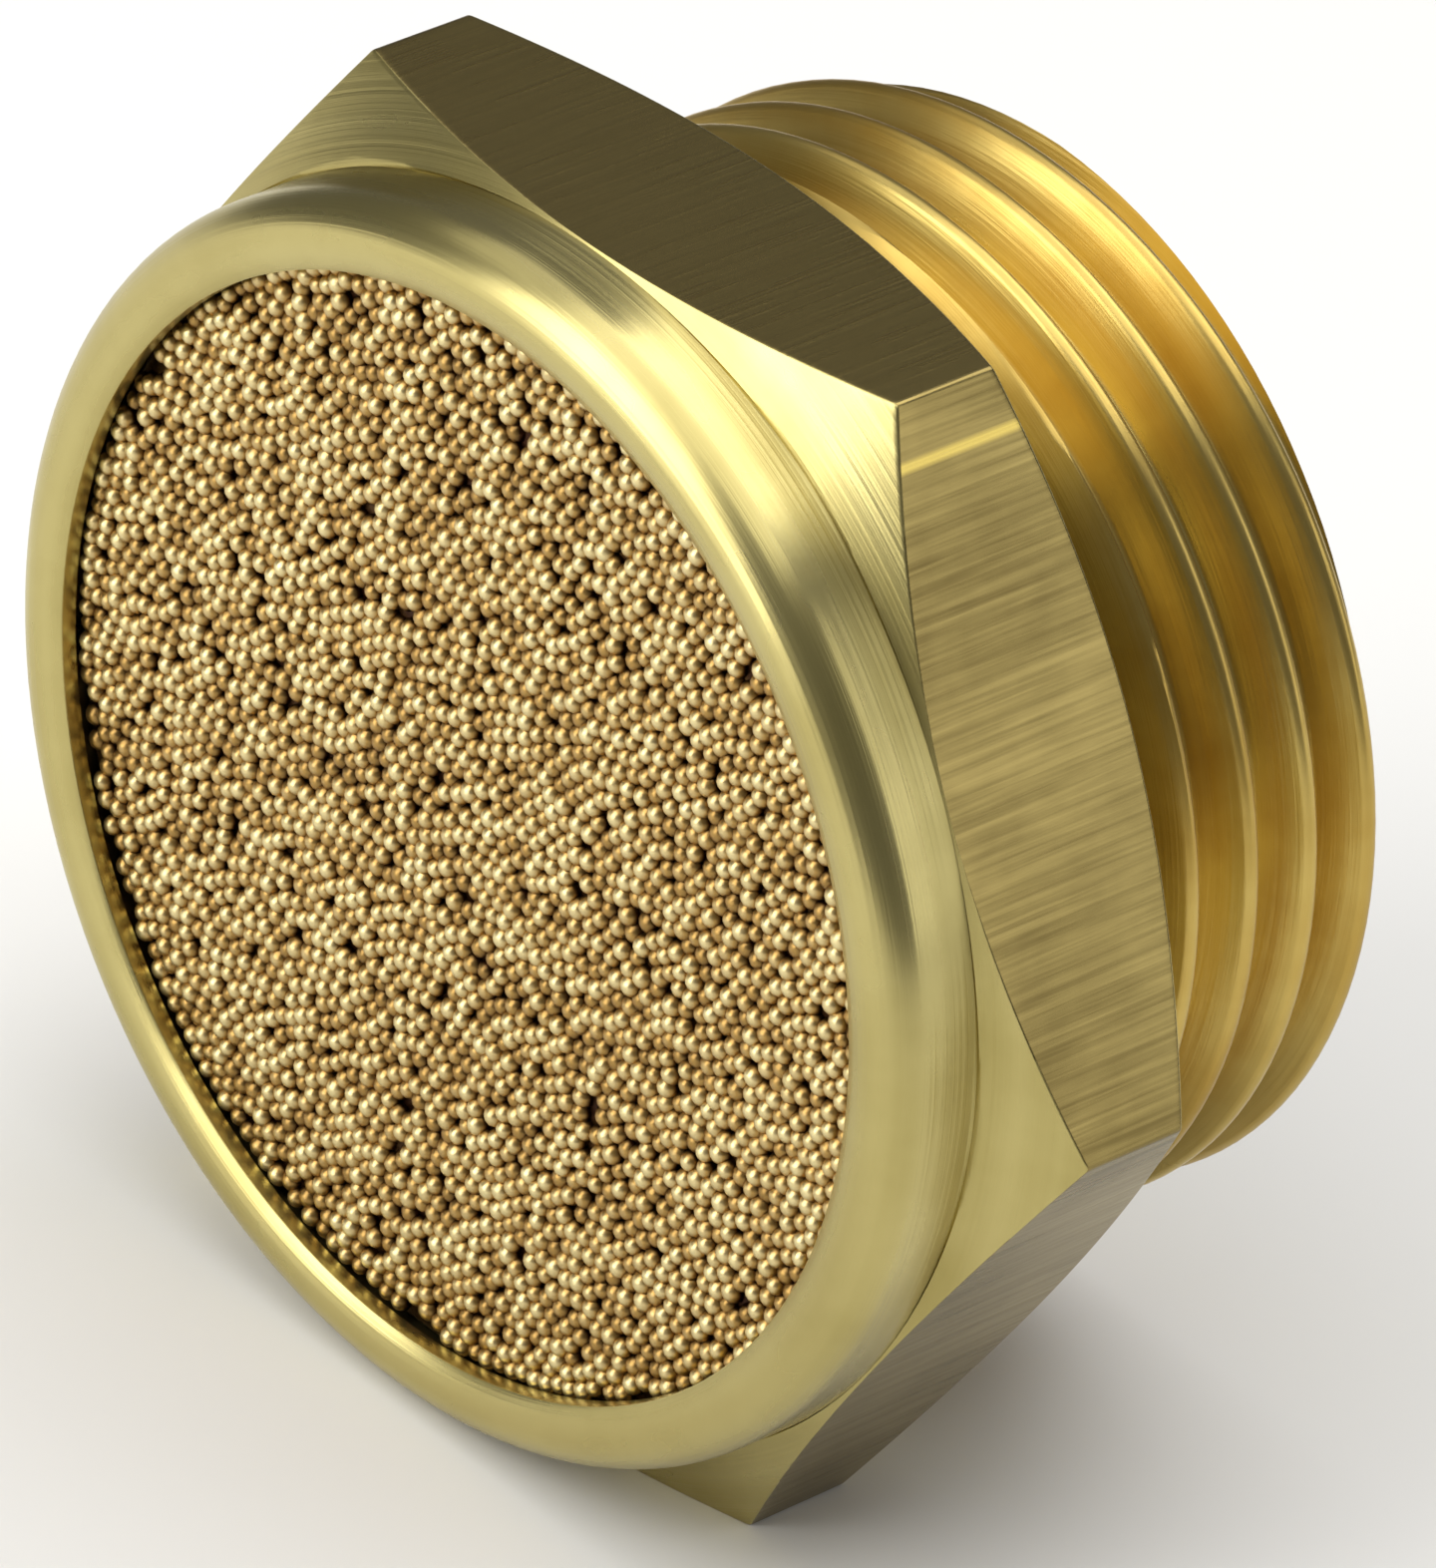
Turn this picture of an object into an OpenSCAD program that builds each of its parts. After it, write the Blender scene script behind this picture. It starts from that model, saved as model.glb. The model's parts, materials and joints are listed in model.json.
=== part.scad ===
// Flush silencer for a G 3/4 exhaust port: a brass body with a porous bronze disc.
// The body is turned and threaded from hexagon bar. The disc lies in a seat at its
// front, and the thin rim of the seat is rolled over the disc's edge to hold it.
//
// Everything is drawn standing on the thread's axis, with the sealing shoulder at
// zero, the thread above it and the head below it. lay_down() then turns the whole
// part so that the thread points along +Y, the disc faces -Y and a flat lies down.

/* [Hexagon head] */
// Width across the spanner flats
across_flats = 30; // [29.5:0.1:34]
// Height of the hexagon, from the sealing shoulder to the foot of the collar
hex_height = 5.85; // [5.2:0.05:8]
// Angle of the chamfers that round off the hexagon's corners
chamfer_angle = 30; // [20:1:32]
// Outer diameter of the flat washer face at the sealing shoulder
washer_face_d = 28.86; // [27.6:0.02:29.4]
// Inner diameter of the washer face, at the edge of the relief groove
washer_inner_d = 26.8; // [26.6:0.1:27.4]

/* [Collar and rolled lip] */
// Outer diameter of the round collar in front of the hexagon
collar_d = 29.9; // [29.3:0.1:29.9]
// Height of the collar, from its foot to the crest of the lip
collar_height = 2.35; // [2.2:0.05:3]
// Radius that the lip is rolled to on its outer side
lip_radius = 1; // [0.7:0.05:1.2]
// Clear diameter inside the lip, where the disc shows
lip_opening_d = 26.5; // [26:0.05:26.8]
// How far the lip's inner edge lies behind its crest
lip_drop = 0.2; // [0.1:0.02:0.3]

/* [Porous disc] */
// Diameter of the disc
disc_d = 27.1; // [27:0.05:27.2]
// Thickness of the disc
disc_thickness = 3; // [2:0.1:4]
// Depth of the disc's face behind the crest of the lip
disc_recess = 0.65; // [0.5:0.05:0.9]
// Chamfer round both of the disc's edges
disc_chamfer = 0.3; // [0.1:0.05:0.4]

/* [Male thread] */
// Major diameter of the thread, over its crests
thread_major_d = 26.441; // [26.2:0.001:26.5]
// Minor diameter of the thread, at its roots
thread_minor_d = 24.117; // [24.1:0.001:24.4]
// Pitch of the thread
thread_pitch = 1.814; // [1.7:0.001:1.9]
// Angle between the two flanks of a groove
flank_angle = 55; // [50:1:60]
// Length of the threaded stub, from the sealing shoulder to its end
thread_length = 8.8; // [7:0.1:14]
// Chamfer at the free end of the thread
thread_end_chamfer = 0.5; // [0.3:0.05:1]
// Width of the round relief groove between the shoulder and the thread
relief_width = 1; // [0.8:0.05:1.2]
// Diameter at the bottom of the relief groove
relief_d = 23.8; // [23.4:0.05:24]
// Depth that the relief groove is sunk behind the washer face
relief_sink = 0.15; // [0.1:0.05:0.4]

/* [Air bore] */
// Diameter of the bore that leads the air to the disc
bore_d = 20.5; // [16:0.5:20.5]
// Chamfer at the mouth of the bore
bore_chamfer = 0.4; // [0.2:0.05:0.6]

/* [Hidden] */

// Steps in each side of the lip's round
LIP_STEPS = 8;
ROUND = 96;
// A cut runs this far past the face that it opens
OVERCUT = 0.5;
// The lip's inner arc is drawn this far past the lip's opening
LIP_OVERRUN = 0.3;
// Radial room between the disc and the wall of its seat
SEAT_CLEARANCE = 0.05;

hex_corner_r = across_flats / 2 / cos(30);
collar_r = collar_d / 2;
crest_z = -(hex_height + collar_height);
lip_crest_r = collar_r - lip_radius;
lip_opening_r = lip_opening_d / 2;
// Inner side of the lip: an arc that leaves the crest level and drops lip_drop
lip_run = lip_crest_r - lip_opening_r;
lip_inner_radius = (lip_run * lip_run + lip_drop * lip_drop) / (2 * lip_drop);
// The arc runs on past the opening, which then cuts it cleanly
lip_inner_sweep = asin((lip_run + LIP_OVERRUN) / lip_inner_radius);

disc_face_z = crest_z + disc_recess;
seat_z = disc_face_z + disc_thickness;
seat_r = disc_d / 2 + SEAT_CLEARANCE;

thread_r = thread_major_d / 2;
thread_depth = (thread_major_d - thread_minor_d) / 2;
flank_run = tan(flank_angle / 2);
// Depth of the sharp V that has this pitch, and the flat left at crest and root
sharp_depth = thread_pitch / (2 * flank_run);
root_flat = (sharp_depth - thread_depth) * flank_run;

function arc_points(centre, radius, first, last, steps) =
    [for (i = [0:steps])
        let (a = first + (last - first) * i / steps)
        [centre[0] + radius * cos(a), centre[1] + radius * sin(a)]];

// Section of one ring groove, from its root out past the crests
function groove_section() =
    let (
        root_r = thread_minor_d / 2,
        rise = thread_depth + OVERCUT,
        root_half = root_flat / 2,
        mouth_half = root_half + rise * flank_run
    )
    [[root_r, -root_half], [root_r + rise, -mouth_half],
     [root_r + rise, mouth_half], [root_r, root_half]];

// One groove for each turn of the thread
module grooves() {
    first = relief_width + thread_pitch / 2;
    for (z = [first : thread_pitch : thread_length + thread_pitch])
        translate([0, 0, z])
            rotate_extrude($fn = ROUND)
                polygon(groove_section());
}

module lay_down() {
    rotate([-90, 0, 0])
        children();
}

// Hexagon bar with both ends turned to a cone, so that only the corners are cut, and
// with the bottom of the relief groove sunk into its rear face
module hexagon() {
    corner_drop_front = (hex_corner_r + OVERCUT - collar_r) * tan(chamfer_angle);
    hidden_rise = OVERCUT * tan(chamfer_angle);
    corner_drop_rear = (hex_corner_r + OVERCUT - washer_face_d / 2) * tan(chamfer_angle);
    intersection() {
        translate([0, 0, -hex_height - OVERCUT])
            cylinder(h = hex_height + 2 * OVERCUT, r = hex_corner_r, $fn = 6);
        rotate_extrude($fn = ROUND)
            polygon([
                [0, -hex_height - hidden_rise],
                [collar_r - OVERCUT, -hex_height - hidden_rise],
                [hex_corner_r + OVERCUT, -hex_height + corner_drop_front],
                [hex_corner_r + OVERCUT, -corner_drop_rear],
                [washer_face_d / 2, 0],
                [washer_inner_d / 2, 0],
                [washer_inner_d / 2, -relief_sink],
                [0, -relief_sink]
            ]);
    }
}

// Round collar whose rim is rolled inwards to a convex lip
module collar() {
    outer = arc_points([lip_crest_r, crest_z + lip_radius], lip_radius, 0, -90, LIP_STEPS);
    inner = arc_points(
        [lip_crest_r, crest_z + lip_inner_radius], lip_inner_radius,
        -90 - lip_inner_sweep / LIP_STEPS, -90 - lip_inner_sweep, LIP_STEPS - 1
    );
    rotate_extrude($fn = ROUND)
        polygon(concat(
            [[0, -hex_height / 2], [collar_r, -hex_height / 2]],
            outer,
            inner,
            [[0, inner[LIP_STEPS - 1][1]]]
        ));
}

// Stub that carries the thread, with its relief groove and its end chamfer
module threaded_stub() {
    difference() {
        rotate_extrude($fn = ROUND)
            polygon([
                [0, -hex_height / 2],
                [relief_d / 2, -hex_height / 2],
                [relief_d / 2, relief_width],
                [thread_r, relief_width],
                [thread_r, thread_length - thread_end_chamfer],
                [thread_r - thread_end_chamfer, thread_length],
                [0, thread_length]
            ]);
        grooves();
    }
}

// Air bore, disc seat and lip opening, as one stepped hole
module air_way() {
    bore_r = bore_d / 2;
    mouth_r = bore_r + bore_chamfer + OVERCUT;
    rotate_extrude($fn = ROUND)
        polygon([
            [0, crest_z - OVERCUT],
            [lip_opening_r, crest_z - OVERCUT],
            [lip_opening_r, disc_face_z],
            [seat_r, disc_face_z],
            [seat_r, seat_z],
            [bore_r, seat_z],
            [bore_r, thread_length - bore_chamfer],
            [mouth_r, thread_length + OVERCUT],
            [0, thread_length + OVERCUT]
        ]);
}

module threaded_body() {
    color("#b89a3e")
        lay_down()
            difference() {
                union() {
                    hexagon();
                    collar();
                    threaded_stub();
                }
                air_way();
            }
}

// Disc of bronze beads sintered together, drawn as the solid that they fill
module sintered_disc() {
    disc_r = disc_d / 2;
    color("#c9a968")
        lay_down()
            rotate_extrude($fn = ROUND)
                polygon([
                    [0, disc_face_z],
                    [disc_r - disc_chamfer, disc_face_z],
                    [disc_r, disc_face_z + disc_chamfer],
                    [disc_r, seat_z - disc_chamfer],
                    [disc_r - disc_chamfer, seat_z],
                    [0, seat_z]
                ]);
}

threaded_body();
sintered_disc();
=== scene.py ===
"""Flush silencer for a G 3/4 exhaust port: a turned brass body with a porous bronze disc.

The thread's axis is the Y axis. The disc faces -Y, the thread points along +Y, the
shoulder that seals against the port is the plane y = 0, and a flat of the hexagon
lies on the floor. Sizes are named in millimetres and turned to metres where a mesh
or a light is placed.
"""
import enum
import json
import logging
import math
from dataclasses import dataclass, field
from typing import Callable, Iterable, Sequence

import bmesh
import bpy
import numpy as np
from mathutils import Matrix, Vector

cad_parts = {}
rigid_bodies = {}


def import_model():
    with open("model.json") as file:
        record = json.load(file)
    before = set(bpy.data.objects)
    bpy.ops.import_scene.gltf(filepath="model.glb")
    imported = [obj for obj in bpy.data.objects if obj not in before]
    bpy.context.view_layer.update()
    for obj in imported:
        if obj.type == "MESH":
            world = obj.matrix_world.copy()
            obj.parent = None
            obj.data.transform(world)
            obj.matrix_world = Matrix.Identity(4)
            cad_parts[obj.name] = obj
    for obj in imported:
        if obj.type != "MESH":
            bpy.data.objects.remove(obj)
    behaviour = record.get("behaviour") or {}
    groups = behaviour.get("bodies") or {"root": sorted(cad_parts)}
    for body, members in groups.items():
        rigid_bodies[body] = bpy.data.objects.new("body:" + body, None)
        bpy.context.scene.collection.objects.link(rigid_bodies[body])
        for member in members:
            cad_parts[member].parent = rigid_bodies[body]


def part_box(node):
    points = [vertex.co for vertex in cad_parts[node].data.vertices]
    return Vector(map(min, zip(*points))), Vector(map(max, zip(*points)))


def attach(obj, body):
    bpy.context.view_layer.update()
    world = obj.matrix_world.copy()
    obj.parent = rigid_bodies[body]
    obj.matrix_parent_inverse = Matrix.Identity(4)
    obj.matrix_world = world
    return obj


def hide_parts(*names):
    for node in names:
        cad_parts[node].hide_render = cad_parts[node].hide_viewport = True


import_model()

MM = 0.001
THREAD_AXIS = (0.0, 1.0, 0.0)
CENTRE = (0.0, 0.0, 0.0)
FULL_TURN = math.tau
SECTOR = FULL_TURN / 6
WHITE = "#FFFFFF"
# Points of a spun outline, and of the thread, that are closer than this are one
WELD = 0.00002 * MM
THREAD_WELD = 0.001 * MM
# A plane cuts at a vertex that is closer to it than this
CUT_REACH = 0.0001 * MM

log = logging.getLogger("silencer")

Point = tuple[float, float]
Socket = bpy.types.NodeSocket


# ---------------------------------------------------------------- small helpers


def linear(code: str) -> tuple[float, float, float, float]:
    """Turn an sRGB hex colour to linear RGBA.

    Args:
        code: Six hex digits, with or without a leading hash.

    Returns:
        Linear red, green and blue, and an alpha of one.
    """
    digits = code.lstrip("#")
    shares = [int(digits[i:i + 2], 16) / 255 for i in (0, 2, 4)]
    lit = [s / 12.92 if s <= 0.04045 else ((s + 0.055) / 1.055) ** 2.4 for s in shares]
    return (lit[0], lit[1], lit[2], 1.0)


def add_node(
    tree: bpy.types.NodeTree, kind: str, inputs: dict | None = None, **settings: object
) -> bpy.types.Node:
    """Add one shader node, set it up and link it.

    Args:
        tree: The node tree that gets the node.
        kind: The node's type name.
        inputs: Input name or index to a value, or to the socket that feeds it.
        settings: Properties of the node, by name.

    Returns:
        The new node.
    """
    node = tree.nodes.new(kind)
    for name, value in settings.items():
        setattr(node, name, value)
    for key, value in (inputs or {}).items():
        if isinstance(value, bpy.types.NodeSocket):
            tree.links.new(value, node.inputs[key])
        else:
            node.inputs[key].default_value = value
    return node


def empty_tree(owner: bpy.types.Material | bpy.types.World) -> bpy.types.NodeTree:
    """Switch a material or a world to nodes, and give its emptied node tree."""
    owner.use_nodes = True
    owner.node_tree.nodes.clear()
    return owner.node_tree


def add_object(name: str, data: bpy.types.ID) -> bpy.types.Object:
    """Put a mesh, a light or a camera in the scene."""
    made = bpy.data.objects.new(name, data)
    bpy.context.scene.collection.objects.link(made)
    return made


def to_mesh(bm: bmesh.types.BMesh, name: str) -> bpy.types.Mesh:
    """Write a bmesh to a new mesh and free it."""
    mesh = bpy.data.meshes.new(name)
    bm.to_mesh(mesh)
    bm.free()
    return mesh


def add_piece(
    mesh: bpy.types.Mesh, name: str, replaced: str
) -> bpy.types.Object:
    """Put a finished mesh in the scene as a piece of the silencer.

    Args:
        mesh: The piece's mesh, in metres and in place.
        name: The piece's name.
        replaced: The node of the frame that it stands for.

    Returns:
        The new piece.
    """
    piece = add_object(name, mesh)
    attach(piece, "root")
    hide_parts(replaced)
    log.info("%s: %d faces", name, len(mesh.polygons))
    return piece


# ---------------------------------------------------------------- outlines


@dataclass(frozen=True)
class Corner:
    """One corner of an outline.

    Attributes:
        r: Distance from the axis, in mm.
        y: Place along the axis, in mm.
        rounding: Radius of the arc that rounds the corner, in mm.
        steps: How many straight steps the arc is drawn in.
    """

    r: float
    y: float
    rounding: float = 0.0
    steps: int = 3


def rounded_outline(corners: Sequence[Corner]) -> list[Point]:
    """Draw an open outline with each corner replaced by its tangent arc.

    Args:
        corners: The outline's corners, in order.

    Returns:
        Points (r, y) along the outline, in mm.
    """
    points: list[Point] = []
    for i, corner in enumerate(corners):
        here = Vector((corner.r, corner.y))
        if corner.rounding == 0 or i in (0, len(corners) - 1):
            points.append((corner.r, corner.y))
            continue
        back = (Vector((corners[i - 1].r, corners[i - 1].y)) - here).normalized()
        on = (Vector((corners[i + 1].r, corners[i + 1].y)) - here).normalized()
        half = back.angle(on) / 2
        reach = corner.rounding / math.tan(half)
        middle = here + (back + on).normalized() * corner.rounding / math.sin(half)
        first = (here + back * reach - middle).normalized()
        last = (here + on * reach - middle).normalized()
        for k in range(corner.steps + 1):
            spot = middle + first.slerp(last, k / corner.steps) * corner.rounding
            points.append((spot.x, spot.y))
    return points


def with_support(points: Sequence[Point], gap: float) -> list[Point]:
    """Add a point near both ends of each long straight stretch.

    The extra rings keep a flat or conical face's shading true right up to its edges.

    Args:
        points: Points (r, y) along an outline, in mm.
        gap: Distance of the extra points from the ends, in mm.

    Returns:
        The outline with its extra points.
    """
    out: list[Point] = [points[0]]
    for (r0, y0), (r1, y1) in zip(points, points[1:]):
        length = math.hypot(r1 - r0, y1 - y0)
        if length > 3 * gap:
            share = gap / length
            for t in (share, 1 - share):
                out.append((r0 + (r1 - r0) * t, y0 + (y1 - y0) * t))
        out.append((r1, y1))
    return out


def spin_outline(
    bm: bmesh.types.BMesh, points: Sequence[Point], steps: int
) -> None:
    """Turn an open outline once round the thread's axis.

    Args:
        bm: The mesh that gets the surface.
        points: Points (r, y) along the outline, in mm.
        steps: Number of steps in the whole turn.
    """
    verts = [bm.verts.new((r * MM, y * MM, 0.0)) for r, y in points]
    edges = [bm.edges.new(pair) for pair in zip(verts, verts[1:])]
    bmesh.ops.spin(
        bm, geom=verts + edges, cent=CENTRE, axis=THREAD_AXIS, dvec=CENTRE,
        angle=FULL_TURN, steps=steps, use_merge=True,
    )
    bmesh.ops.remove_doubles(bm, verts=bm.verts[:], dist=WELD)


def polar(co: Vector) -> tuple[float, float]:
    """Give a point's distance from the thread's axis and its angle round it."""
    return math.hypot(co.x, co.z), math.atan2(co.z, co.x)


def place_polar(vert: bmesh.types.BMVert, r: float, y: float, angle: float) -> None:
    """Move a vertex to a radius, a height and an angle, all in metres and radians."""
    vert.co = Vector((r * math.cos(angle), y, r * math.sin(angle)))


# ---------------------------------------------------------------- finishes


class Region(enum.IntEnum):
    """The differently made surfaces of the body, as its material indices."""

    TURNED = 0
    DRAWN = 1
    THREAD = 2
    BORE = 3


@dataclass(frozen=True)
class ScoredLine:
    """A thin bright line that a die scored along one flat of the hexagon bar.

    Attributes:
        facing: Direction that the flat faces, from +X towards +Z, in radians.
        flat_r: Points further out than this in that direction lie on the flat, in mm.
        off_middle: Distance of the line from the flat's middle, in mm.
        core: Half of the width of its bright core, in mm.
        edge: Half of the width over which it fades out, in mm.
        strength: How much of the line is bared, from 0 to 1.
        colour: Freshly bared brass.
    """

    facing: float = SECTOR / 2
    flat_r: float = 14.9
    off_middle: float = 7.3
    core: float = 0.05
    edge: float = 0.17
    strength: float = 0.75
    colour: str = "#E6CC6C"

    def mask(self, tree: bpy.types.NodeTree) -> Socket:
        """Mark the line.

        Args:
            tree: The material's node tree.

        Returns:
            The line's strength on it and zero beside it.
        """
        place = add_node(tree, "ShaderNodeTexCoord").outputs["Object"]
        across = add_node(
            tree, "ShaderNodeVectorMath",
            {0: place, 1: (-math.sin(self.facing), 0.0, math.cos(self.facing))},
            operation="DOT_PRODUCT",
        )
        off = add_node(
            tree, "ShaderNodeMath", {0: across.outputs["Value"], 1: self.off_middle * MM},
            operation="SUBTRACT",
        )
        apart = add_node(tree, "ShaderNodeMath", {0: off.outputs[0]}, operation="ABSOLUTE")
        line = add_node(
            tree, "ShaderNodeMapRange",
            {"Value": apart.outputs[0], "From Min": self.core * MM,
             "From Max": self.edge * MM, "To Min": self.strength, "To Max": 0.0},
        )
        out = add_node(
            tree, "ShaderNodeVectorMath",
            {0: place, 1: (math.cos(self.facing), 0.0, math.sin(self.facing))},
            operation="DOT_PRODUCT",
        )
        on_flat = add_node(
            tree, "ShaderNodeMath", {0: out.outputs["Value"], 1: self.flat_r * MM},
            operation="GREATER_THAN",
        )
        mark = add_node(
            tree, "ShaderNodeMath", {0: line.outputs[0], 1: on_flat.outputs[0]},
            operation="MULTIPLY",
        )
        return mark.outputs[0]


@dataclass(frozen=True)
class BrassFinish:
    """Bare free-machining brass, CuZn39Pb3, with the marks of one way of working.

    It gives the eye a satin yellow metal whose highlights are drawn out across fine
    marks, with a faint uneven tarnish. The marks are drawn a little coarser than the
    real feed marks and draw streaks, which would be too fine to show.

    Attributes:
        name: The material's name.
        colour: Brass where it reflects white.
        shade: Brass where the surface is a little tarnished.
        roughness: Roughness of the clean metal.
        anisotropy: How far the marks stretch a highlight across themselves.
        rotation: Turn of that stretch, in whole turns, from round the axis.
        mark_mm: Distance between two tool marks.
        mark_depth_mm: Depth of the marks in the bump.
        along_axis: True where the marks run along the axis, False where they run round.
        waviness: Depth of the broad waves, as a share of the fine marks' depth.
        score: The line scored along one flat, if there is one.
        broad_marks: Width of a broad wave, in fine marks.
        streak_drift: How fast a drawn streak changes on its way, as a share of across.
        ring_drift: How far the pattern moves on round a turned ring, in m per radian.
        patch_mm: Size of the patches of tarnish.
    """

    name: str
    colour: str
    shade: str
    roughness: float
    anisotropy: float
    rotation: float
    mark_mm: float
    mark_depth_mm: float
    along_axis: bool = False
    waviness: float = 0.4
    score: ScoredLine | None = None
    broad_marks: float = 9
    streak_drift: float = 0.02
    ring_drift: float = 0.00004
    patch_mm: float = 6

    def marks(self, tree: bpy.types.NodeTree) -> tuple[Socket, Socket]:
        """Make the tool-mark pattern.

        Args:
            tree: The material's node tree.

        Returns:
            The fine marks and the broad bands, both from 0 to 1.
        """
        place = add_node(tree, "ShaderNodeTexCoord").outputs["Object"]
        parts = add_node(tree, "ShaderNodeSeparateXYZ", {"Vector": place})
        x, y, z = parts.outputs
        if self.along_axis:
            # Drawn bar: the streaks run along the axis and hardly change on the way
            slow = add_node(
                tree, "ShaderNodeMath", {0: y, 1: self.streak_drift}, operation="MULTIPLY"
            )
            at = add_node(
                tree, "ShaderNodeCombineXYZ", {"X": x, "Y": slow.outputs[0], "Z": z}
            )
        else:
            # Turned work: each ring has one radius and one height
            xx = add_node(tree, "ShaderNodeMath", {0: x, 1: x}, operation="MULTIPLY")
            rr = add_node(
                tree, "ShaderNodeMath", {0: z, 1: z, 2: xx.outputs[0]},
                operation="MULTIPLY_ADD",
            )
            r = add_node(tree, "ShaderNodeMath", {0: rr.outputs[0]}, operation="SQRT")
            turn = add_node(tree, "ShaderNodeMath", {0: z, 1: x}, operation="ARCTAN2")
            slow = add_node(
                tree, "ShaderNodeMath", {0: turn.outputs[0], 1: self.ring_drift},
                operation="MULTIPLY",
            )
            at = add_node(
                tree, "ShaderNodeCombineXYZ",
                {"X": r.outputs[0], "Y": y, "Z": slow.outputs[0]},
            )
        fine = add_node(
            tree, "ShaderNodeTexNoise",
            {"Vector": at.outputs[0], "Scale": 1 / (self.mark_mm * MM), "Detail": 3.0,
             "Roughness": 0.65},
        )
        broad = add_node(
            tree, "ShaderNodeTexNoise",
            {"Vector": at.outputs[0], "Scale": 1 / (self.broad_marks * self.mark_mm * MM),
             "Detail": 2.0, "Roughness": 0.5},
        )
        return fine.outputs["Fac"], broad.outputs["Fac"]

    def material(self) -> bpy.types.Material:
        """Build the material.

        Returns:
            The new material.
        """
        made = bpy.data.materials.new(self.name)
        tree = empty_tree(made)
        fine, broad = self.marks(tree)
        place = add_node(tree, "ShaderNodeTexCoord").outputs["Object"]
        # Faint uneven tarnish, in patches a few millimetres across
        patches = add_node(
            tree, "ShaderNodeTexNoise",
            {"Vector": place, "Scale": 1 / (self.patch_mm * MM), "Detail": 4.0,
             "Roughness": 0.6},
        )
        streaks = fine if self.along_axis else broad
        mixed = add_node(
            tree, "ShaderNodeMath", {0: streaks, 1: patches.outputs["Fac"]},
            operation="ADD",
        )
        share = add_node(
            tree, "ShaderNodeMapRange",
            {"Value": mixed.outputs[0], "From Min": 0.75, "From Max": 1.3,
             "To Min": 0.0, "To Max": 1.0},
        )
        tint = add_node(
            tree, "ShaderNodeMix",
            {"Factor": share.outputs[0], 6: linear(self.colour), 7: linear(self.shade)},
            data_type="RGBA",
        )
        colour = tint.outputs[2]
        if self.score:
            bared = add_node(
                tree, "ShaderNodeMix",
                {"Factor": self.score.mask(tree), 6: colour, 7: linear(self.score.colour)},
                data_type="RGBA",
            )
            colour = bared.outputs[2]
        # The tarnish is duller than the clean metal
        rough = add_node(
            tree, "ShaderNodeMapRange",
            {"Value": mixed.outputs[0], "From Min": 0.6, "From Max": 1.4,
             "To Min": self.roughness * 0.8, "To Max": self.roughness * 1.3},
        )
        height = add_node(
            tree, "ShaderNodeMath", {0: broad, 1: self.waviness, 2: fine},
            operation="MULTIPLY_ADD",
        )
        bump = add_node(
            tree, "ShaderNodeBump",
            {"Height": height.outputs[0], "Strength": 1.0,
             "Distance": self.mark_depth_mm * MM},
        )
        tangent = add_node(
            tree, "ShaderNodeTangent", direction_type="RADIAL", axis="Y"
        )
        skin = add_node(
            tree, "ShaderNodeBsdfPrincipled",
            {"Base Color": colour, "Metallic": 1.0,
             "Roughness": rough.outputs[0], "Anisotropic": self.anisotropy,
             "Anisotropic Rotation": self.rotation, "Normal": bump.outputs[0],
             "Tangent": tangent.outputs[0]},
        )
        add_node(tree, "ShaderNodeOutputMaterial", {"Surface": skin.outputs[0]})
        return made


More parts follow.
